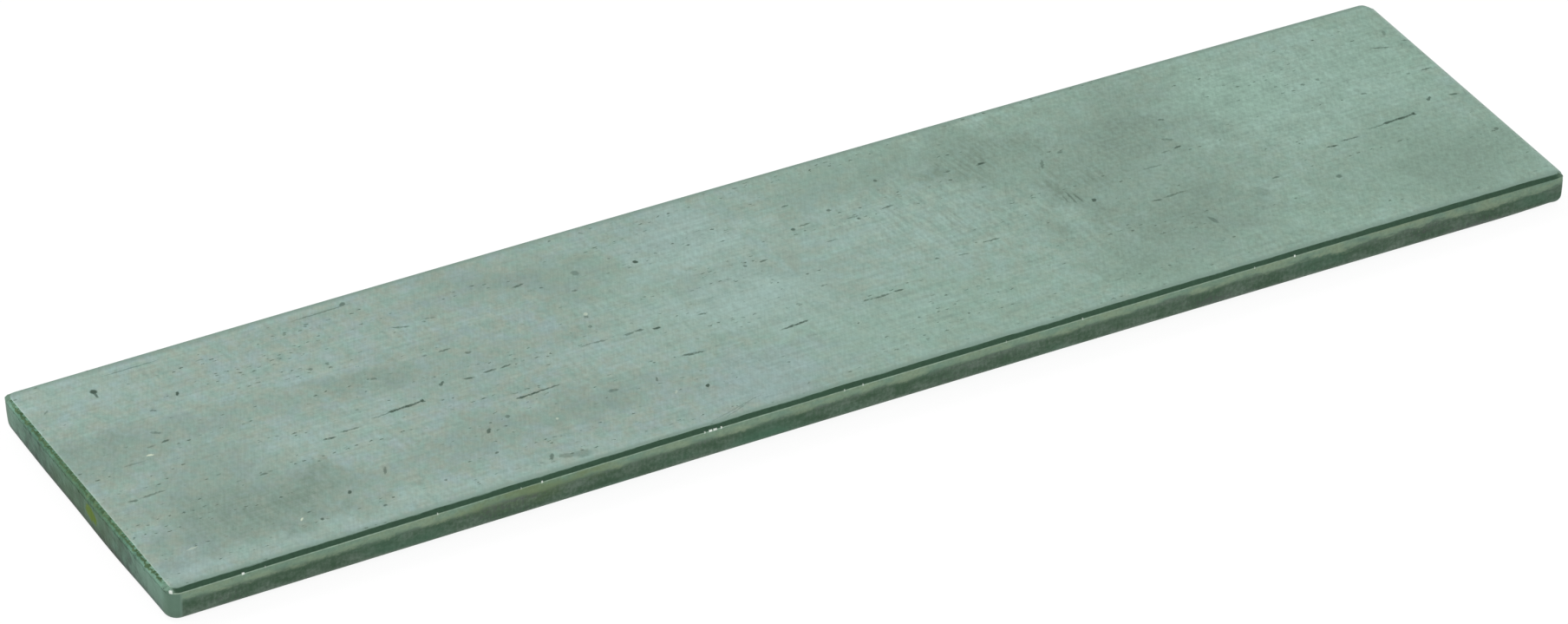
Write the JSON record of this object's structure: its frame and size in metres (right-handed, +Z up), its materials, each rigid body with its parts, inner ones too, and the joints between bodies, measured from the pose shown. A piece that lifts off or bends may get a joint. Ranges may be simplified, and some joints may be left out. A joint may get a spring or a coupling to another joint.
{
  "type": "metal flat bar",
  "caption": "Short cut length of flat steel bar, ten times as wide as it is thick, with crowned long sides, sheared ends and worked edges.",
  "frame": {"origin": "centre of the underside, which rests on the floor", "axes": "+X along the bar's length, +Y across its width, +Z up through its thickness to the top face"},
  "size_m": [0.25, 0.06, 0.006],
  "materials": {
    "steel": "raw rolled steel, semi-matte, grey-green, with small dark marks"
  },
  "bodies": {
    "root": {"flat_bar": "steel"}
  },
  "joints": []
}
